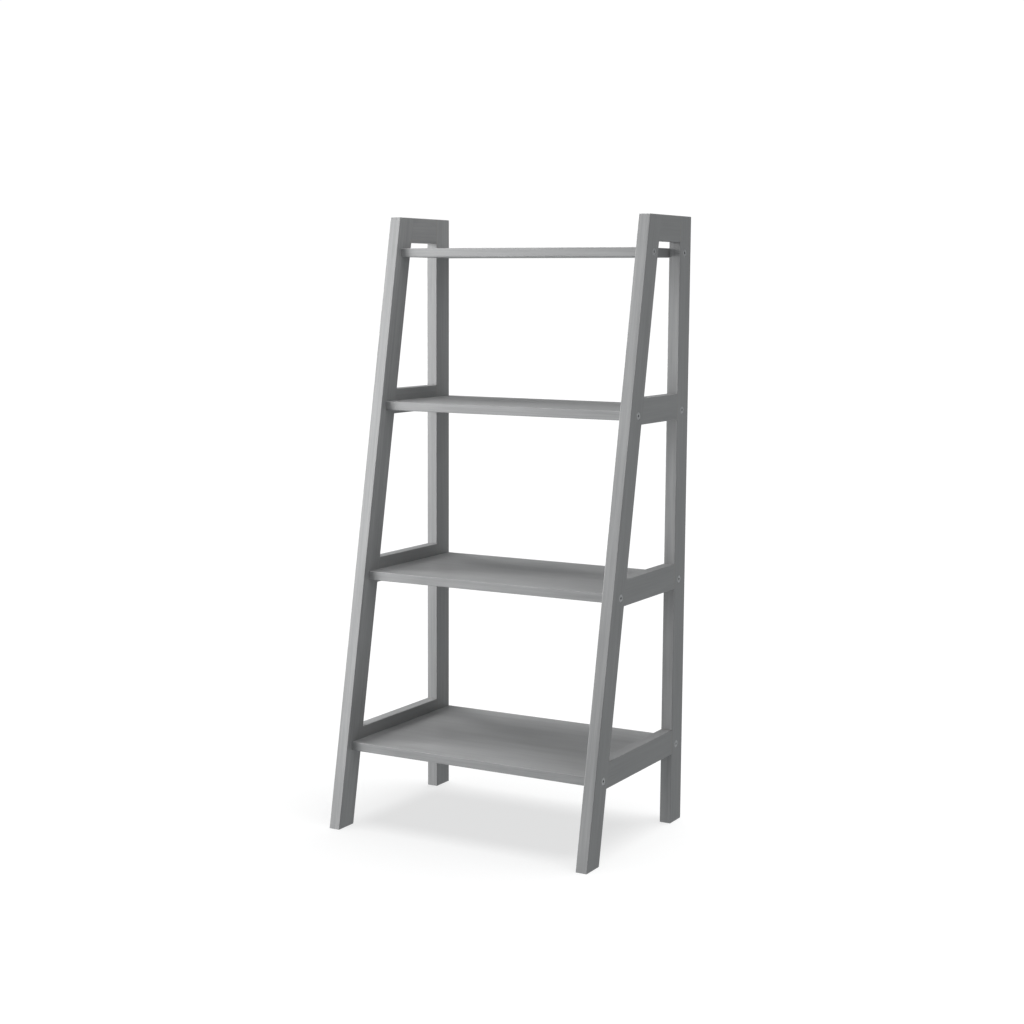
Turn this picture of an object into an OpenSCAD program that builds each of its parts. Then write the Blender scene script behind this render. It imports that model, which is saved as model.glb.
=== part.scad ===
// Four-tier ladder shelf: two A-shaped side frames and four boards screwed between them.
// Millimetres, +Z up. The origin is on the floor, at the centre of the footprint.
// The shelf faces -Y, its rear legs stand upright on the +Y side, and left is -X.

/* [Side frames] */
// Height from the floor to the top of the frames
height = 970; // [940:5:1000]
// Width over both side frames
width = 462; // [380:2:560]
// Depth of the footprint, from the front legs' toes to the rear faces
depth = 338; // [325:1:360]
// Horizontal distance that the front legs lean back over the full height
lean = 187; // [170:1:200]
// Thickness of the frame stock, across the shelf
stock_t = 19; // [18:0.5:22]
// Width of the frame stock, in the plane of the side frame
stock_w = 40; // [38:0.5:42]

/* [Shelves] */
// Thickness of a shelf board
shelf_t = 14; // [12:0.5:16]
// Top face of the bottom shelf above the floor
bottom_shelf_z = 136; // [120:0.5:160]
// Height from one of the three lower shelves to the next
shelf_pitch = 270; // [250:1:275]
// Gap between the top shelf and the underside of the top rails
top_gap = 9.5; // [6:0.5:20]
// How far a rail stands above the shelf beside it
rail_lip = 19; // [12:0.5:20]
// How far a shelf's front edge is set back from the front legs' faces
shelf_setback = 13.5; // [8:0.5:16]

/* [Screws] */
// Diameter of a screw's flat head
head_d = 12; // [11:0.5:13]
// Diameter of the thread's crests and of the shank
screw_d = 6.2; // [5:0.1:6.4]
// Length of a screw over its head
screw_len = 50; // [40:1:60]
// Width across flats of the hexagonal socket
socket_af = 4; // [3:0.5:5]
// Distance of a front screw behind the front leg's face
front_screw_y = 27.5; // [24:0.5:29]
// Distance of a rear screw in front of the rear leg's back
rear_screw_y = 22; // [18:0.5:24]

/* [Dowels] */
// Diameter of every wooden dowel
dowel_d = 6; // [5:0.5:6]
// Length of a dowel in a side frame
frame_dowel_len = 24; // [18:1:26]
// Height of a frame dowel above or below the middle of its rail
dowel_offset = 13.25; // [12.5:0.25:14]
// Length of a dowel in a shelf's end
shelf_dowel_len = 30; // [24:1:36]

/* [Hidden] */
$fn = 48;
rear_y = depth / 2;
toe_y = -depth / 2;
slope = lean / height;
leg_y = stock_w * sqrt(1 + slope * slope);
inner_x = width / 2 - stock_t;
mid_x = width / 2 - stock_t / 2;

// Names of the tiers, from the top down, and the top face of each shelf
TOP = 0;
UPPER = 1;
MIDDLE = 2;
BOTTOM = 3;
shelf_top = [
    height - stock_w - top_gap,
    bottom_shelf_z + 2 * shelf_pitch,
    bottom_shelf_z + shelf_pitch,
    bottom_shelf_z
];
// Top edge of each tier's rail: the top rail closes the frame above its shelf
rail_top = [
    height,
    shelf_top[UPPER] + rail_lip,
    shelf_top[MIDDLE] + rail_lip,
    shelf_top[BOTTOM] + rail_lip
];
tiers = [TOP, UPPER, MIDDLE, BOTTOM];
railed_tiers = [UPPER, MIDDLE, BOTTOM];

// Front face and rear face of a front leg at height z
function leg_front(z) = toe_y + slope * z;
function leg_back(z) = leg_front(z) + leg_y;
// Mid-thickness height and front edge of a tier's shelf
function shelf_mid(tier) = shelf_top[tier] - shelf_t / 2;
function shelf_front(tier) = leg_front(shelf_mid(tier)) + shelf_setback;
function screw_ys(tier) = [leg_front(shelf_mid(tier)) + front_screw_y, rear_y - rear_screw_y];
function rail_mid(tier) = rail_top[tier] - stock_w / 2;
function shelf_dowel_y(tier) = (shelf_front(tier) + rear_y) / 2;

// Screw: a head of two steps, a plain shank through the leg and a ridged thread in the board
rim_h = 1;
cone_h = (head_d - screw_d) / 2;
socket_depth = 3;
thread_start = stock_t + 1;
thread_pitch = 3;
thread_depth = 0.9;
root_d = screw_d - 2 * thread_depth;
crest_h = 0.3;
tip_h = 3;
tip_d = 2.5;
thread_count = floor((screw_len - thread_start - tip_h - crest_h) / thread_pitch);
// Extra depth of every blind hole past the end of its dowel or screw
hole_spare = 1;
// Cutting tools run this far past the face that they open
cut = 1;
// Part of a shelf's dowel that sits in the rail
shelf_dowel_in_rail = 10;
dowel_chamfer = 0.8;

paint = "#8c8c8a";
screw_grey = "#9a9c9e";
beech = "#d8b98c";

// Puts a right-hand piece on the side asked for: 1 is right, -1 is left
module on_side(side) {
    mirror([side < 0 ? 1 : 0, 0, 0]) children();
}

// An outline of Y, Z points made into a plate of frame stock on the right side
module frame_plate(outline) {
    translate([inner_x, 0, 0]) rotate([90, 0, 90]) linear_extrude(stock_t) polygon(outline);
}

// A straight dowel along +Y from the origin, with chamfered ends
module dowel(len) {
    r = dowel_d / 2;
    c = dowel_chamfer;
    rotate([-90, 0, 0]) rotate_extrude()
        polygon([[0, 0], [r - c, 0], [r, c], [r, len - c], [r - c, len], [0, len]]);
}

// The hole for a dowel, centred on the joint face at the origin and running along Y
module dowel_hole(half_len) {
    reach = half_len + hole_spare;
    rotate([90, 0, 0]) cylinder(d = dowel_d, h = 2 * reach, center = true);
}

// Places its children at both dowels of the rail's front end and of its rear end
module at_frame_dowels(tier) {
    for (z = [rail_mid(tier) - dowel_offset, rail_mid(tier) + dowel_offset])
        for (y = [leg_back(z), rear_y - stock_w])
            translate([mid_x, y, z]) children();
}

// Places its children at the head of each of a tier's screws on the right side, pointing at -X
module at_screws(tier) {
    for (y = screw_ys(tier))
        translate([width / 2, y, shelf_mid(tier)]) rotate([0, -90, 0]) children();
}

// Profile of one screw, from the head's face at 0 down to the tip
function screw_profile() = concat(
    [[0, 0], [head_d / 2, 0], [head_d / 2, rim_h], [screw_d / 2, rim_h + cone_h]],
    [[screw_d / 2, thread_start], [root_d / 2, thread_start]],
    [for (i = [0 : thread_count - 1], p = thread_tooth(thread_start + i * thread_pitch)) p],
    [[root_d / 2, screw_len - tip_h], [tip_d / 2, screw_len], [0, screw_len]]
);
// One ridge of the thread, in the pitch that starts at depth z
function thread_tooth(z) = [
    [root_d / 2, z + thread_pitch / 2 - crest_h],
    [screw_d / 2, z + thread_pitch - crest_h],
    [screw_d / 2, z + thread_pitch],
    [root_d / 2, z + thread_pitch + crest_h / 2]
];

// A screw standing at the origin with its head's face down, and a hexagonal socket in the head
module screw() {
    difference() {
        rotate_extrude() polygon(screw_profile());
        translate([0, 0, -cut]) cylinder(d = socket_af / cos(30), h = socket_depth + cut, $fn = 6);
    }
}

// The hole that a screw fills: sunk head, shank and the part in the board
module screw_hole() {
    translate([0, 0, -cut]) cylinder(d = head_d, h = rim_h + cut);
    translate([0, 0, rim_h]) cylinder(d1 = head_d, d2 = screw_d, h = cone_h);
    cylinder(d = screw_d, h = screw_len + hole_spare);
}

// A raked leg with square-cut ends, and the holes for its screws and dowels
module front_leg(side) {
    on_side(side) difference() {
        frame_plate([
            [leg_front(0), 0], [leg_back(0), 0],
            [leg_back(height), height], [leg_front(height), height]
        ]);
        for (tier = tiers) {
            at_screws(tier) screw_hole();
            at_frame_dowels(tier) dowel_hole(frame_dowel_len / 2);
        }
    }
}

// An upright leg with the same holes
module rear_leg(side) {
    on_side(side) difference() {
        frame_plate([
            [rear_y - stock_w, 0], [rear_y, 0],
            [rear_y, height], [rear_y - stock_w, height]
        ]);
        for (tier = tiers) {
            at_screws(tier) screw_hole();
            at_frame_dowels(tier) dowel_hole(frame_dowel_len / 2);
        }
    }
}

// A rail between the legs, cut at the front leg's angle, with its dowel holes
module rail(side, tier) {
    top = rail_top[tier];
    low = top - stock_w;
    on_side(side) difference() {
        frame_plate([
            [leg_back(low), low], [rear_y - stock_w, low],
            [rear_y - stock_w, top], [leg_back(top), top]
        ]);
        at_frame_dowels(tier) dowel_hole(frame_dowel_len / 2);
        if (tier != TOP) at_shelf_dowel(tier) shelf_dowel_hole();
    }
}

// Places its children where a shelf's dowel starts inside the right rail, pointing at -X
module at_shelf_dowel(tier) {
    translate([inner_x + shelf_dowel_in_rail, shelf_dowel_y(tier), shelf_mid(tier)])
        rotate([0, 0, 90]) children();
}

// The blind holes for a shelf's dowel in the rail and in the shelf, in one cut
module shelf_dowel_hole() {
    translate([0, shelf_dowel_len + hole_spare, 0]) rotate([90, 0, 0])
        cylinder(d = dowel_d, h = shelf_dowel_len + 2 * hole_spare);
}

// A board between the side frames, flush with the rear legs' backs, with its screw and dowel holes
module shelf(tier) {
    front = shelf_front(tier);
    difference() {
        translate([-inner_x, front, shelf_top[tier] - shelf_t])
            cube([2 * inner_x, rear_y - front, shelf_t]);
        for (side = [-1, 1]) {
            on_side(side) at_screws(tier) screw_hole();
            if (tier != TOP) on_side(side) at_shelf_dowel(tier) shelf_dowel_hole();
        }
    }
}

module shelf_screws(tier) {
    for (side = [-1, 1]) on_side(side) at_screws(tier) screw();
}

module frame_dowels(side) {
    on_side(side) for (tier = tiers) at_frame_dowels(tier)
        translate([0, -frame_dowel_len / 2, 0]) dowel(frame_dowel_len);
}

module left_front_leg() { color(paint) front_leg(-1); }
module right_front_leg() { color(paint) front_leg(1); }
module left_rear_leg() { color(paint) rear_leg(-1); }
module right_rear_leg() { color(paint) rear_leg(1); }
module left_top_rail() { color(paint) rail(-1, TOP); }
module right_top_rail() { color(paint) rail(1, TOP); }
module left_upper_rail() { color(paint) rail(-1, UPPER); }
module right_upper_rail() { color(paint) rail(1, UPPER); }
module left_middle_rail() { color(paint) rail(-1, MIDDLE); }
module right_middle_rail() { color(paint) rail(1, MIDDLE); }
module left_lower_rail() { color(paint) rail(-1, BOTTOM); }
module right_lower_rail() { color(paint) rail(1, BOTTOM); }
module top_shelf() { color(paint) shelf(TOP); }
module upper_shelf() { color(paint) shelf(UPPER); }
module middle_shelf() { color(paint) shelf(MIDDLE); }
module bottom_shelf() { color(paint) shelf(BOTTOM); }
module top_shelf_screws() { color(screw_grey) shelf_screws(TOP); }
module upper_shelf_screws() { color(screw_grey) shelf_screws(UPPER); }
module middle_shelf_screws() { color(screw_grey) shelf_screws(MIDDLE); }
module bottom_shelf_screws() { color(screw_grey) shelf_screws(BOTTOM); }
module left_frame_dowels() { color(beech) frame_dowels(-1); }
module right_frame_dowels() { color(beech) frame_dowels(1); }
module shelf_dowels() {
    color(beech) for (tier = railed_tiers, side = [-1, 1])
        on_side(side) at_shelf_dowel(tier) dowel(shelf_dowel_len);
}

left_front_leg();
right_front_leg();
left_rear_leg();
right_rear_leg();
left_top_rail();
right_top_rail();
left_upper_rail();
right_upper_rail();
left_middle_rail();
right_middle_rail();
left_lower_rail();
right_lower_rail();
top_shelf();
upper_shelf();
middle_shelf();
bottom_shelf();
top_shelf_screws();
upper_shelf_screws();
middle_shelf_screws();
bottom_shelf_screws();
left_frame_dowels();
right_frame_dowels();
shelf_dowels();
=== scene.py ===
"""Ladder shelf in satin grey paint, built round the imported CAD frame. Metres, +Z up, front towards -Y."""

import math

import bmesh
import bpy
from mathutils import Matrix, Vector


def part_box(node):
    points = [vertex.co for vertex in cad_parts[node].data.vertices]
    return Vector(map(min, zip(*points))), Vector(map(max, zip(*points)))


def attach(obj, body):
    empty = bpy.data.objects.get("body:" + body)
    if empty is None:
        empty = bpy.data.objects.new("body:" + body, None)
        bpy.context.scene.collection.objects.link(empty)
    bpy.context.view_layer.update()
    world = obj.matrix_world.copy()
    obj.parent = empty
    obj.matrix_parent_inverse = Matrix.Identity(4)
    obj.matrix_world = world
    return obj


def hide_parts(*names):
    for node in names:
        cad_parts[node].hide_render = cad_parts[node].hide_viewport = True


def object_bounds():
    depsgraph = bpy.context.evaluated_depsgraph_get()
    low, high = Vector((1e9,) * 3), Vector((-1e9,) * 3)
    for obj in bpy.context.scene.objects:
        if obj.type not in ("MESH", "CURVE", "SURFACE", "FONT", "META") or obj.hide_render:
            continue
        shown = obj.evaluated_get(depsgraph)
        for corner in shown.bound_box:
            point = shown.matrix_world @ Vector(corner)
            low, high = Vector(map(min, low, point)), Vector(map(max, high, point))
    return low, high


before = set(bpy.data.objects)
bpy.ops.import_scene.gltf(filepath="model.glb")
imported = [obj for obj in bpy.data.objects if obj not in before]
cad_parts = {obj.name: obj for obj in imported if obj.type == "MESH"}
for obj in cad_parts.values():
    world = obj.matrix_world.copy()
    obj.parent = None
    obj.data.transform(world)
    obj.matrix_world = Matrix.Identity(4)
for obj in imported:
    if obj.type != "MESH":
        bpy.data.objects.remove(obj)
cad_low, cad_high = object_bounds()

# ---------------------------------------------------------------- values that the frame doesn't hold
MM = 0.001
TINY = 0.01 * MM                # two corners as close as this are one
SPARE = 2 * MM                  # how far a cutter runs past what it cuts
ARRIS = 1.0 * MM                # radius of the eased outer edges
ARRIS_SEGMENTS = 4
JOINT_ARRIS = 0.2 * MM          # round a glued joint, where the paint leaves a hairline
JOINT_ARRIS_SEGMENTS = 2
SHARP = math.radians(30)        # a smaller angle between two faces isn't an edge
FACING = 0.9                    # least part of a face's normal along the way that it faces

SHANK_D = 6.2 * MM
ROOT_D = 4.4 * MM               # between the threads
TIP_D = 2.5 * MM
TIP_LENGTH = 3 * MM
THREAD_PITCH = 3 * MM
THREAD_START = 20 * MM          # below the head's face
THREAD_STEPS = 8                # rings to a turn of the thread
THREAD_RUN_IN = THREAD_PITCH / 6    # from the last ring of the plain shank to the thread's first
RIDGE_HALF = 0.28               # half the width of the thread's ridge, in pitches
RIDGE_PEAK = 1.15               # height to which its flanks would meet; the crown is cut flat at 1
HEAD_RIM = 1 * MM               # height of the head's straight side
HEAD_CHAMFER = 0.35 * MM
HEAD_SINK = 0.15 * MM           # how far the head's face lies below the leg's
SOCKET_AF = 4 * MM
SOCKET_LEAD = 0.35 * MM         # chamfer at the socket's mouth
SOCKET_DEPTH = 3 * MM
SOCKET_SIDES = 6
CONE_DEPTH = 1 / 3              # of the cone at the socket's foot, in socket radii
CONE_POINT = 1 / 8              # radius at the cone's point, in socket radii
SEAT_CHAMFER = 0.4 * MM         # eased mouth of a screw hole
HOLE_SPARE = 1 * MM             # a hole is this much deeper than what it holds

FLUTES = 12
FLUTE_SEGMENTS = 6              # faces across one flute
FLUTE_DEPTH = 0.25 * MM
DOWEL_CHAMFER = 0.8 * MM
ROUND_SEGMENTS = 40

STAGE_RADIUS = 30
WALL_GLOW = 0.22                # strength of the world's light above the horizon
FLOOR_GLOW = 0.58               # and below it
HORIZON_BLUR = 0.03
COOL_WHITE = (0.96, 0.99, 1.0)  # tint of the world's light
SUN_PLACE = (0.25, 0.35, 2.7)   # only its direction counts
SUN_STRENGTH = 2.8
SUN_WIDTH = math.radians(55)    # so wide that the shadow is soft

CAMERA_PLACE = (1.4066, -2.5004, 0.8653)
CAMERA_YAW = math.radians(29.24)
CAMERA_PITCH = math.radians(8.02)   # downwards
CAMERA_ROLL = math.radians(0.29)
SENSOR_WIDTH = 36                   # millimetres, as is the focal length
FOCAL_LENGTH = 64.27
SHIFT_UP = 0.0283                   # in frame widths

GREY = (0.262, 0.263, 0.265)
GRAIN_DARK, GRAIN_LIGHT = 0.82, 1.18    # darkest and lightest paint on the long faces, times GREY
END_DARK, END_LIGHT = 0.744, 1.0695     # and on the cross-cut ends
RINGS = 150                             # growth rings, as waves to a unit of noise

X_AXIS = Vector((1, 0, 0))
Y_AXIS = Vector((0, 1, 0))
Z_AXIS = Vector((0, 0, 1))
PAINT_SLOT, ARRIS_SLOT, END_SLOT, BARE_SLOT = range(4)

SIDES = ("left", "right")
RAILS = ("lower_rail", "middle_rail", "upper_rail", "top_rail")
SHELF_NODES = ("top_shelf", "upper_shelf", "middle_shelf", "bottom_shelf")
SCREW_NODES = tuple(f"{shelf}_screws" for shelf in SHELF_NODES)
DOWEL_NODES = ("left_frame_dowels", "right_frame_dowels", "shelf_dowels")


# ---------------------------------------------------------------- reading the frame
def solids_of(node):
    """The lowest and highest corner of each separate solid in a CAD node."""
    bm = bmesh.new()
    bm.from_mesh(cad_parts[node].data)
    bmesh.ops.remove_doubles(bm, verts=bm.verts, dist=TINY)
    boxes, seen = [], set()
    for start in bm.verts:
        if start in seen:
            continue
        seen.add(start)
        waiting, corners = [start], []
        while waiting:
            vert = waiting.pop()
            corners.append(vert.co.copy())
            for edge in vert.link_edges:
                other = edge.other_vert(vert)
                if other not in seen:
                    seen.add(other)
                    waiting.append(other)
        boxes.append(tuple(
            Vector([pick(corner[i] for corner in corners) for i in range(3)]) for pick in (min, max)
        ))
    bm.free()
    return boxes


def leg_outline(node):
    """The Y, Z corners of a straight leg: lower front, lower rear, upper rear, upper front."""
    low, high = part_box(node)
    corners = []
    for z, ends in ((low.z, (min, max)), (high.z, (max, min))):
        level = [v.co.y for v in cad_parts[node].data.vertices if abs(v.co.z - z) < TINY]
        corners += [(end(level), z) for end in ends]
    return corners


# ---------------------------------------------------------------- mesh helpers
def new_piece(name, bm):
    mesh = bpy.data.meshes.new(name)
    bm.normal_update()
    bm.to_mesh(mesh)
    bm.free()
    piece = bpy.data.objects.new(name, mesh)
    bpy.context.scene.collection.objects.link(piece)
    return piece


def apply_modifiers(piece):
    graph = bpy.context.evaluated_depsgraph_get()
    piece.data = bpy.data.meshes.new_from_object(piece.evaluated_get(graph), depsgraph=graph)
    piece.modifiers.clear()


def combine(piece, tool, operation):
    """Cuts a piece with a tool, whose materials stay on the cut faces, and deletes the tool."""
    boolean = piece.modifiers.new("cut", "BOOLEAN")
    boolean.operation = operation
    boolean.solver = "EXACT"
    boolean.material_mode = "TRANSFER"
    boolean.object = tool
    apply_modifiers(piece)
    bpy.data.objects.remove(tool)
    bm = bmesh.new()
    bm.from_mesh(piece.data)
    bmesh.ops.dissolve_degenerate(bm, edges=bm.edges, dist=TINY)
    bmesh.ops.remove_doubles(bm, verts=bm.verts, dist=TINY)
    bm.to_mesh(piece.data)
    bm.free()


def smooth_shading(piece):
    """Round faces are shaded smooth, and flat ones stay flat because the larger faces set the normals."""
    piece.data.shade_smooth()
    piece.data.set_sharp_from_angle(angle=SHARP)
    normals = piece.modifiers.new("flat faces stay flat", "WEIGHTED_NORMAL")
    normals.keep_sharp = True
    normals.weight = 100


def extruded(name, outlines, low, high, seams=()):
    """A solid from low to high along X, whose Y, Z outlines are joined along their common seams."""
    bm = bmesh.new()
    corners = {}

    def corner(point, x):
        key = (round(point[0], 6), round(point[1], 6), x)
        if key not in corners:
            corners[key] = bm.verts.new((x, *point))
        return corners[key]

    for points in outlines:
        bm.faces.new([corner(p, low) for p in reversed(points)])
        bm.faces.new([corner(p, high) for p in points])
        for p, q in zip(points, points[1:] + points[:1]):
            if (p, q) not in seams and (q, p) not in seams:
                bm.faces.new([corner(p, low), corner(q, low), corner(q, high), corner(p, high)])
    bmesh.ops.recalc_face_normals(bm, faces=bm.faces)
    return new_piece(name, bm)


def ease(piece, butted=()):
    """Rounds every outer edge, but only just breaks the edges of a face that faces a butted way."""
    bm = bmesh.new()
    bm.from_mesh(piece.data)
    weight = bm.edges.layers.float.new("bevel_weight_edge")
    for edge in bm.edges:
        if edge.calc_face_angle_signed() > SHARP:
            butts = any(face.normal.dot(way) > FACING for face in edge.link_faces for way in butted)
            edge[weight] = JOINT_ARRIS / ARRIS if butts else 1
    bm.to_mesh(piece.data)
    bm.free()
    bevel = piece.modifiers.new("eased edges", "BEVEL")
    bevel.limit_method = "WEIGHT"
    bevel.width = ARRIS
    bevel.segments = ARRIS_SEGMENTS
    bevel.material = ARRIS_SLOT
    apply_modifiers(piece)


def turned(bm, rows, place, segments=ROUND_SEGMENTS, slots=None):
    """Adds a closed turned solid. Each row is a distance along local Z and a radius, or a function that
    gives the radius at an angle; slots are the material slots of the bands between the rows."""
    rings = []
    for z, radius in rows:
        ring = []
        for i in range(segments):
            angle = 2 * math.pi * i / segments
            r = radius(angle) if callable(radius) else radius
            ring.append(bm.verts.new(place @ Vector((r * math.cos(angle), r * math.sin(angle), z))))
        rings.append(ring)
    for band, (lower, upper) in enumerate(zip(rings, rings[1:])):
        for i in range(segments):
            j = (i + 1) % segments
            face = bm.faces.new((lower[i], lower[j], upper[j], upper[i]))
            face.material_index = slots[band] if slots else 0
    for cap in (rings[0][::-1], rings[-1]):
        bm.faces.new(cap)


# ---------------------------------------------------------------- screws, dowels and their holes
def screws_of(node):
    """The place of each screw of a node, with +Z into the wood, its head's radius and its length."""
    screws = []
    for low, high in solids_of(node):
        at_right = low.x + high.x > 0
        centre = (low + high) / 2
        head = Vector((high.x if at_right else low.x, centre.y, centre.z))
        turn = Matrix.Rotation(math.radians(-90 if at_right else 90), 4, "Y")
        screws.append((Matrix.Translation(head) @ turn, (high.y - low.y) / 2, high.x - low.x))
    return screws


def screw_hole(bm, place, head_r, length):
    """A painted seat with an eased mouth, then a bare bore a little deeper than the screw."""
    shank_r = SHANK_D / 2
    turned(bm, [
        (-SPARE, head_r + SEAT_CHAMFER + SPARE),
        (SEAT_CHAMFER, head_r),
        (HEAD_RIM, head_r),
        (HEAD_RIM + head_r - shank_r, shank_r),
        (length + HOLE_SPARE, shank_r),
    ], place, slots=(ARRIS_SLOT, ARRIS_SLOT, ARRIS_SLOT, BARE_SLOT))


def dowel_axis(low, high):
    """Where a dowel lies, with +Z along it from its middle, and its radius and half length."""
    size = high - low
    axis = max(range(3), key=lambda i: size[i])
    turn = Z_AXIS.rotation_difference((X_AXIS, Y_AXIS, Z_AXIS)[axis]).to_matrix().to_4x4()
    return Matrix.Translation((low + high) / 2) @ turn, min(size) / 2, size[axis] / 2


def dowel_hole(bm, low, high):
    """A bare bore round a dowel, a little longer at both ends."""
    place, radius, half = dowel_axis(low, high)
    turned(bm, [(-half - HOLE_SPARE, radius), (half + HOLE_SPARE, radius)], place, slots=(BARE_SLOT,))


def cut_holes(piece, node, materials):
    """Cuts every screw and dowel hole that reaches into a CAD node's box."""
    low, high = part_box(node)

    def reached(box):
        return all(low[i] < box[1][i] and high[i] > box[0][i] for i in range(3))

    bm = bmesh.new()
    for screws in SCREW_NODES:
        for screw, box in zip(screws_of(screws), solids_of(screws)):
            if reached(box):
                screw_hole(bm, *screw)
    for dowels in DOWEL_NODES:
        for box in filter(reached, solids_of(dowels)):
            dowel_hole(bm, *box)
    holes = new_piece("holes", bm)
    for material in materials:
        holes.data.materials.append(material)
    combine(piece, holes, "DIFFERENCE")


def thread_radius(z, start, end):
    """The radius at depth z as a function of the angle: a ridge that climbs a pitch in each turn."""
    fade = max(0, min(1, (z - start) / THREAD_PITCH, (end - z) / THREAD_PITCH))

    def radius(angle):
        turn = (z / THREAD_PITCH - angle / (2 * math.pi)) % 1
        ridge = min(1, max(0, 1 - abs(turn - 0.5) / RIDGE_HALF) * RIDGE_PEAK)
        return (ROOT_D + (SHANK_D - ROOT_D) * ridge * fade) / 2

    return radius


def make_screws(node, steel):
    """One shelf's screws: a flat chamfered head with a hexagonal socket, a shank, a thread and a tip."""
    screws, sockets = bmesh.new(), bmesh.new()
    shank_r = SHANK_D / 2
    socket_r = SOCKET_AF / 2 / math.cos(math.pi / SOCKET_SIDES)
    for place, head_r, length in screws_of(node):
        thread_end = length - TIP_LENGTH
        rows = [
            (HEAD_SINK, head_r - HEAD_CHAMFER),
            (HEAD_SINK + HEAD_CHAMFER, head_r),
            (HEAD_RIM, head_r),
            (HEAD_RIM + head_r - shank_r, shank_r),
            (THREAD_START - THREAD_RUN_IN, shank_r),
        ]
        steps = round((thread_end - THREAD_START) / THREAD_PITCH * THREAD_STEPS)
        for i in range(steps + 1):
            z = THREAD_START + (thread_end - THREAD_START) * i / steps
            rows.append((z, thread_radius(z, THREAD_START, thread_end)))
        rows.append((length, TIP_D / 2))
        turned(screws, rows, place)
        turned(sockets, [
            (HEAD_SINK - SPARE, socket_r + SOCKET_LEAD + SPARE),
            (HEAD_SINK + SOCKET_LEAD, socket_r),
            (SOCKET_DEPTH, socket_r),
            (SOCKET_DEPTH + socket_r * CONE_DEPTH, socket_r * CONE_POINT),
        ], place, segments=SOCKET_SIDES)
    piece = new_piece(f"{node}_finished", screws)
    tool = new_piece("sockets", sockets)
    for mesh in (piece.data, tool.data):
        mesh.materials.append(steel)
    combine(piece, tool, "DIFFERENCE")
    return piece


def make_dowels(node, wood):
    """Fluted dowels with chamfered ends."""
    dowels = bmesh.new()
    for low, high in solids_of(node):
        place, radius, half = dowel_axis(low, high)

        def fluted(angle, radius=radius):
            return radius - FLUTE_DEPTH * (1 - math.cos(FLUTES * angle)) / 2

        def end(angle, radius=radius):
            return fluted(angle, radius) - DOWEL_CHAMFER

        turned(dowels, [
            (-half, end),
            (DOWEL_CHAMFER - half, fluted),
            (half - DOWEL_CHAMFER, fluted),
            (half, end),
        ], place, segments=FLUTES * FLUTE_SEGMENTS)
    piece = new_piece(f"{node}_finished", dowels)
    piece.data.materials.append(wood)
    return piece


# ---------------------------------------------------------------- shelves and side frames
def make_shelf(node, materials):
    """A board eased along its front and rear, with crisp ends where it butts against the side frames."""
    low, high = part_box(node)
    corners = [(low.y, low.z), (high.y, low.z), (high.y, high.z), (low.y, high.z)]
    piece = extruded(f"{node}_finished", [corners], low.x, high.x)
    for material in materials:
        piece.data.materials.append(material)
    ease(piece, butted=(X_AXIS, -X_AXIS))
    for face in piece.data.polygons:
        if abs(face.normal.x) > FACING:
            face.material_index = END_SLOT
    return piece


def line(p, q):
    """The Y of the straight line through two Y, Z points, as a function of Z."""
    return lambda z: p[0] + (q[0] - p[0]) * (z - p[1]) / (q[1] - p[1])


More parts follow.
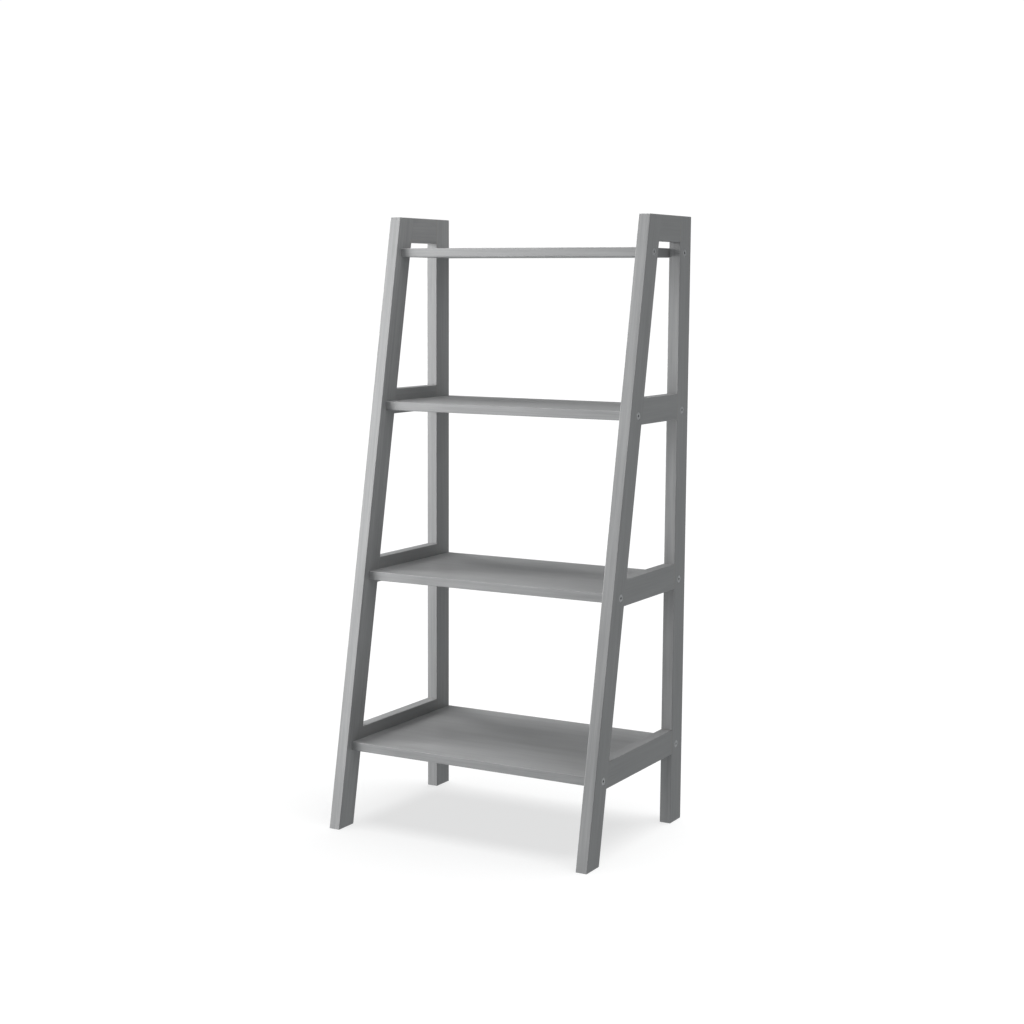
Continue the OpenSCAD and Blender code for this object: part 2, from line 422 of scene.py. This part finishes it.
class SideFrame:
    """The two legs and four rails of one side: glued up, eased as one, and then cut apart at the joints."""

    def __init__(self, side, materials):
        self.side = side
        low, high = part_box(f"{side}_rear_leg")
        self.x = (low.x, high.x)
        self.bottom, self.top = low.z, high.z
        self.rear_inner, self.rear = low.y, high.y
        toe_front, toe_rear, top_rear, top_front = leg_outline(f"{side}_front_leg")
        self.front, self.inner = line(toe_front, top_front), line(toe_rear, top_rear)
        self.rake = Vector((0, top_front[0] - toe_front[0], top_front[1] - toe_front[1])).normalized()
        self.rails = {rail: tuple(corner.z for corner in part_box(f"{side}_{rail}")) for rail in RAILS}
        self.solid = self.make_solid(materials)

    def make_solid(self, materials):
        """A front and a rear outline meet in the middle of every rail, so the bays between stay open."""
        front = [(self.front(self.bottom), self.bottom), (self.inner(self.bottom), self.bottom)]
        rear = [(self.rear, self.bottom), (self.rear_inner, self.bottom)]
        seams = set()
        for low, high in self.rails.values():
            seam = tuple(((self.inner(z) + self.rear_inner) / 2, z) for z in (low, high))
            seams.add(seam)
            front += [(self.inner(low), low), *seam]
            rear += [(self.rear_inner, low), *seam]
            if high < self.top - TINY:
                front.append((self.inner(high), high))
                rear.append((self.rear_inner, high))
        front.append((self.front(self.top), self.top))
        rear.append((self.rear, self.top))
        solid = extruded(f"{self.side}_side", [front, rear], *self.x, seams)
        for material in materials:
            solid.data.materials.append(material)
        ease(solid)
        return solid

    def region(self, part):
        """The Y, Z outline that holds one member, with room to spare wherever the member is free."""
        if part in self.rails:
            low, high = self.rails[part][0] - SPARE, self.rails[part][1] + SPARE
            return [(self.inner(low), low), (self.rear_inner, low),
                    (self.rear_inner, high), (self.inner(high), high)]
        low, high = self.bottom - SPARE, self.top + SPARE
        if part == "front_leg":
            return [(self.front(low) - SPARE, low), (self.inner(low), low),
                    (self.inner(high), high), (self.front(high) - SPARE, high)]
        return [(self.rear_inner, low), (self.rear + SPARE, low),
                (self.rear + SPARE, high), (self.rear_inner, high)]

    def make_member(self, part, materials):
        """One member cut out of the side, with bare wood where it was glued."""
        piece = self.solid.copy()
        piece.data = self.solid.data.copy()
        piece.name = f"{self.side}_{part}_finished"
        bpy.context.scene.collection.objects.link(piece)
        tool = extruded("region", [self.region(part)], self.x[0] - SPARE, self.x[1] + SPARE)
        for slot, material in enumerate(materials):
            piece.data.materials[slot] = material
            tool.data.materials.append(material)
        for face in tool.data.polygons:
            face.material_index = BARE_SLOT
        combine(piece, tool, "INTERSECT")
        if part in self.rails:
            break_glued_edges(piece)
        else:
            self.paint_leg(piece)
        return piece

    def paint_leg(self, piece):
        """Paints all of a leg but its glued faces, each of which lies within a rail's height, and gives
        its two ends the end paint."""
        for face in piece.data.polygons:
            heights = [piece.data.vertices[i].co.z for i in face.vertices]
            glued = any(
                low - TINY < min(heights) and max(heights) < high + TINY
                for low, high in self.rails.values()
            )
            if face.material_index == BARE_SLOT and not glued:
                face.material_index = PAINT_SLOT
            if face.material_index == PAINT_SLOT and abs(face.normal.z) > FACING:
                face.material_index = END_SLOT


def break_glued_edges(piece):
    """Breaks the edges round each glued face, so that the paint shows a hairline at the joint."""
    bm = bmesh.new()
    bm.from_mesh(piece.data)
    edges = [
        edge for edge in bm.edges
        if {face.material_index == BARE_SLOT for face in edge.link_faces} == {True, False}
    ]
    bmesh.ops.bevel(bm, geom=edges, offset=JOINT_ARRIS, offset_type="OFFSET",
                    segments=JOINT_ARRIS_SEGMENTS, profile=0.5, affect="EDGES", material=ARRIS_SLOT)
    bm.to_mesh(piece.data)
    bm.free()


# ---------------------------------------------------------------- materials
class Nodes:
    """Short calls for building a node material."""

    def __init__(self, name):
        self.material = bpy.data.materials.new(name)
        self.material.use_nodes = True
        self.tree = self.material.node_tree
        self.shader = self.tree.nodes["Principled BSDF"]

    def add(self, kind, **settings):
        node = self.tree.nodes.new(kind)
        for key, value in settings.items():
            setattr(node, key, value)
        return node

    def link(self, source, target):
        if isinstance(source, (int, float)):
            target.default_value = source
        else:
            self.tree.links.new(source, target)

    def math(self, operation, a, b=0.0):
        node = self.add("ShaderNodeMath", operation=operation)
        self.link(a, node.inputs[0])
        self.link(b, node.inputs[1])
        return node.outputs[0]

    def grain_space(self, along):
        """Object coordinates turned so that local Z runs along the grain."""
        where = self.add("ShaderNodeTexCoord")
        mapping = self.add("ShaderNodeMapping")
        mapping.inputs["Rotation"].default_value = along.rotation_difference(Z_AXIS).to_euler()
        self.link(where.outputs["Object"], mapping.inputs["Vector"])
        return mapping.outputs[0]

    def noise(self, vector, scale, stretch=1.0, detail=2.0, roughness=0.5, seed=0.0):
        """Noise with about scale features to a metre, drawn out 1 / stretch times along local Z.
        The seed shifts it, so that two patterns of one material don't line up."""
        mapping = self.add("ShaderNodeMapping")
        mapping.inputs["Scale"].default_value = (1, 1, stretch)
        mapping.inputs["Location"].default_value = (seed, seed * 0.7, seed * 1.3)
        self.link(vector, mapping.inputs["Vector"])
        noise = self.add("ShaderNodeTexNoise")
        noise.inputs["Scale"].default_value = scale
        noise.inputs["Detail"].default_value = detail
        noise.inputs["Roughness"].default_value = roughness
        self.link(mapping.outputs[0], noise.inputs["Vector"])
        return noise.outputs["Fac"]

    def mix(self, base, parts):
        """The base plus weight * (value - 0.5) for each part."""
        total = base
        for value, weight in parts:
            offset = self.math("MULTIPLY", self.math("SUBTRACT", value, 0.5), weight)
            total = self.math("ADD", offset, total)
        return total

    def colour(self, value, low, high):
        """Blends from the low colour at 0 to the high colour at 1."""
        ramp = self.add("ShaderNodeValToRGB")
        for element, colour in zip(ramp.color_ramp.elements, (low, high)):
            element.color = (*colour, 1)
        self.link(value, ramp.inputs[0])
        self.link(ramp.outputs["Color"], self.shader.inputs["Base Color"])

    def roughness(self, value):
        self.link(value, self.shader.inputs["Roughness"])

    def bump(self, height, strength, distance):
        bump = self.add("ShaderNodeBump")
        bump.inputs["Strength"].default_value = strength
        bump.inputs["Distance"].default_value = distance
        self.link(height, bump.inputs["Height"])
        self.link(bump.outputs["Normal"], self.shader.inputs["Normal"])


def shade(colour, factor):
    return tuple(min(1, c * factor) for c in colour)


def paint(name, along, figure, rough=0.45):
    """Satin grey paint over sanded wood: the grain shows through as faint long streaks and ridges."""
    n = Nodes(name)
    space = n.grain_space(along)
    fibres = n.noise(space, scale=900, stretch=0.02)
    streaks = n.noise(space, scale=230, stretch=0.03, detail=3, roughness=0.6)
    bands = n.noise(space, scale=60, stretch=0.07, seed=3.1)
    blotches = n.noise(space, scale=12, stretch=0.5, seed=7.7)
    tint = n.mix(0.5, [
        (streaks, 1.5 * figure),
        (fibres, 0.8 * figure),
        (bands, 0.7 * figure),
        (blotches, 0.8),
    ])
    n.colour(tint, shade(GREY, GRAIN_DARK), shade(GREY, GRAIN_LIGHT))
    n.roughness(n.mix(rough, [(streaks, 0.2), (blotches, 0.15)]))
    n.bump(n.mix(0.5, [(fibres, 0.5), (streaks, 0.8)]), strength=0.3 * figure, distance=0.12 * MM)
    return n.material


def end_paint(name, along):
    """Paint on a cross-cut end, which soaks in: darker and duller, with pores and growth rings."""
    n = Nodes(name)
    space = n.grain_space(along)
    pores = n.noise(space, scale=1500)
    figure = n.noise(space, scale=22, stretch=0.1, detail=1, seed=3.1)
    rings = n.math("SINE", n.math("MULTIPLY", figure, RINGS))
    n.colour(n.mix(0.5, [(pores, 0.9), (rings, 0.12)]), shade(GREY, END_DARK), shade(GREY, END_LIGHT))
    n.roughness(n.mix(0.55, [(pores, 0.2)]))
    n.bump(pores, strength=0.5, distance=0.12 * MM)
    return n.material


def bare_wood(name, along, dark, light):
    """Unpainted wood in the joints and holes, and on the dowels."""
    n = Nodes(name)
    space = n.grain_space(along)
    fibres = n.noise(space, scale=1400, stretch=0.03)
    streaks = n.noise(space, scale=300, stretch=0.05, detail=3)
    n.colour(n.mix(0.5, [(fibres, 0.8), (streaks, 1.2)]), dark, light)
    n.roughness(n.mix(0.62, [(fibres, 0.2)]))
    n.bump(fibres, strength=0.4, distance=0.1 * MM)
    return n.material


def dull_steel(name):
    """Dull plated steel with fine crystals and handling marks."""
    n = Nodes(name)
    space = n.grain_space(Z_AXIS)
    crystals = n.noise(space, scale=2600)
    clouds = n.noise(space, scale=240, detail=3, seed=1.9)
    tint = n.mix(0.5, [(crystals, 0.7), (clouds, 1.2)])
    n.colour(tint, low=(0.42, 0.425, 0.43), high=(0.58, 0.585, 0.59))
    n.shader.inputs["Metallic"].default_value = 1.0
    n.roughness(n.mix(0.45, [(crystals, 0.25), (clouds, 0.2)]))
    n.bump(crystals, strength=0.25, distance=0.05 * MM)
    return n.material


# ---------------------------------------------------------------- camera, light and floor
def make_camera():
    """Seen from the right and from just under the top shelf, slightly downwards."""
    data = bpy.data.cameras.new("camera")
    data.sensor_width = SENSOR_WIDTH
    data.lens = FOCAL_LENGTH
    data.shift_y = SHIFT_UP
    camera = bpy.data.objects.new("camera", data)
    camera.matrix_world = (
        Matrix.Translation(CAMERA_PLACE)
        @ Matrix.Rotation(CAMERA_YAW, 4, "Z")
        @ Matrix.Rotation(math.pi / 2 - CAMERA_PITCH, 4, "X")
        @ Matrix.Rotation(CAMERA_ROLL, 4, "Z")
    )
    bpy.context.scene.collection.objects.link(camera)
    bpy.context.scene.camera = camera


def put_light(light, place):
    """Sets up a light that faces the middle of the shelf and isn't seen itself."""
    lamp = bpy.data.objects.new(light.name, light)
    lamp.location = place
    middle = (cad_low + cad_high) / 2
    lamp.rotation_euler = (middle - Vector(place)).to_track_quat("-Z", "Y").to_euler()
    lamp.visible_camera = False
    bpy.context.scene.collection.objects.link(lamp)
    return lamp


def softbox(name, place, width, height, watts):
    light = bpy.data.lights.new(name, "AREA")
    light.shape = "RECTANGLE"
    light.size = width
    light.size_y = height
    light.energy = watts
    return put_light(light, place)


def make_lights(floor):
    """Softboxes light all but the floor, and a broad overhead sun draws the shelf's shadow on it."""
    only_floor = bpy.data.collections.new("only_floor")
    not_floor = bpy.data.collections.new("not_floor")
    for group in (only_floor, not_floor):
        group.objects.link(floor)
    not_floor.collection_objects[0].light_linking.link_state = "EXCLUDE"
    lamps = [
        softbox("key", place=(-1.4, -1.4, 0.9), width=0.8, height=1.6, watts=20),
        softbox("left_side", place=(-1.9, -1.0, 0.9), width=0.8, height=1.8, watts=39),
        softbox("left_rear_fill", place=(-1.5, 0.5, 0.9), width=0.8, height=1.2, watts=20),
        softbox("right_fill", place=(1.6, -0.9, 1.4), width=0.8, height=0.8, watts=3),
        softbox("overhead", place=(0, 0, 2.6), width=1.6, height=1.6, watts=44),
        softbox("overhead_rear", place=(0, 1.2, 2.4), width=1.4, height=1.4, watts=7),
    ]
    for lamp in lamps:
        lamp.light_linking.receiver_collection = not_floor
    light = bpy.data.lights.new("floor_sun", "SUN")
    light.energy = SUN_STRENGTH
    light.angle = SUN_WIDTH
    sun = put_light(light, SUN_PLACE)
    sun.light_linking.receiver_collection = only_floor


def make_world():
    """Dim walls above the horizon, and the pale floor's glow below it."""
    world = bpy.data.worlds.new("studio")
    world.use_nodes = True
    tree = world.node_tree
    where = tree.nodes.new("ShaderNodeTexCoord")
    axes = tree.nodes.new("ShaderNodeSeparateXYZ")
    level = tree.nodes.new("ShaderNodeMapRange")
    level.inputs["From Min"].default_value = -HORIZON_BLUR
    level.inputs["From Max"].default_value = HORIZON_BLUR
    level.inputs["To Min"].default_value = FLOOR_GLOW
    level.inputs["To Max"].default_value = WALL_GLOW
    tree.links.new(where.outputs["Generated"], axes.inputs[0])
    tree.links.new(axes.outputs["Z"], level.inputs["Value"])
    tree.links.new(level.outputs[0], tree.nodes["Background"].inputs["Strength"])
    tree.nodes["Background"].inputs["Color"].default_value = (*COOL_WHITE, 1)
    bpy.context.scene.world = world


def stage_piece(name, bm, albedo, glow):
    """A matt glowing surface that lights and shadows nothing else."""
    piece = new_piece(name, bm)
    n = Nodes(f"{name}_white")
    n.shader.inputs["Base Color"].default_value = (albedo, albedo, albedo, 1)
    n.shader.inputs["Roughness"].default_value = 0.9
    n.shader.inputs["Specular IOR Level"].default_value = 0.0
    n.shader.inputs["Emission Color"].default_value = (1, 1, 1, 1)
    n.shader.inputs["Emission Strength"].default_value = glow
    piece.data.materials.append(n.material)
    piece.visible_diffuse = False
    piece.visible_glossy = False
    piece.visible_transmission = False
    piece.visible_volume_scatter = False
    piece.visible_shadow = False
    return piece


def make_stage():
    """A pale floor that shows the shelf's soft shadow, inside a white backdrop. Returns the floor."""
    disc, ball = bmesh.new(), bmesh.new()
    bmesh.ops.create_circle(disc, cap_ends=True, segments=96, radius=STAGE_RADIUS)
    bmesh.ops.create_uvsphere(ball, u_segments=48, v_segments=24, radius=STAGE_RADIUS)
    floor = stage_piece("floor", disc, albedo=0.36, glow=0.68)
    backdrop = stage_piece("backdrop", ball, albedo=0, glow=1.03)
    return floor


# ---------------------------------------------------------------- putting it together
def paints(kind, along, figure, bare):
    """The materials of one kind of member, in the order of the material slots. Along is the way of its
    grain, and figure says how clearly the grain shows through the paint."""
    return (
        paint(f"{kind}_paint", along, figure),
        paint(f"{kind}_arris_paint", along, figure, rough=0.35),
        end_paint(f"{kind}_end_paint", along),
        bare,
    )


def adopt(piece, node):
    """Shades a finished piece and puts it in the place of its CAD node."""
    smooth_shading(piece)
    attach(piece, "root")
    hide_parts(node)


def build():
    pine = bare_wood("bare_pine", Z_AXIS, dark=(0.50, 0.34, 0.18), light=(0.66, 0.50, 0.31))
    steel = dull_steel("dull_steel")
    rail_paints = paints("rail", Y_AXIS, figure=0.65, bare=pine)
    rear_leg_paints = paints("rear_leg", Z_AXIS, figure=0.9, bare=pine)
    for side in SIDES:
        side_frame = SideFrame(side, rail_paints)
        front_leg_paints = paints(f"{side}_front_leg", side_frame.rake, figure=0.9, bare=pine)
        members = {rail: rail_paints for rail in RAILS}
        members |= {"front_leg": front_leg_paints, "rear_leg": rear_leg_paints}
        for part, materials in members.items():
            piece = side_frame.make_member(part, materials)
            cut_holes(piece, f"{side}_{part}", materials)
            adopt(piece, f"{side}_{part}")
        bpy.data.objects.remove(side_frame.solid)
    shelf_paints = paints("shelf", X_AXIS, figure=0.85, bare=pine)
    for node in SHELF_NODES:
        piece = make_shelf(node, shelf_paints)
        cut_holes(piece, node, shelf_paints)
        adopt(piece, node)
    for node in SCREW_NODES:
        adopt(make_screws(node, steel), node)
    for node in DOWEL_NODES:
        along = X_AXIS if node == "shelf_dowels" else Y_AXIS
        beech = bare_wood(f"{node}_beech", along, dark=(0.46, 0.30, 0.15), light=(0.62, 0.45, 0.27))
        adopt(make_dowels(node, beech), node)


make_camera()
build()
make_world()
make_lights(make_stage())
bpy.context.scene.view_settings.view_transform = "Standard"
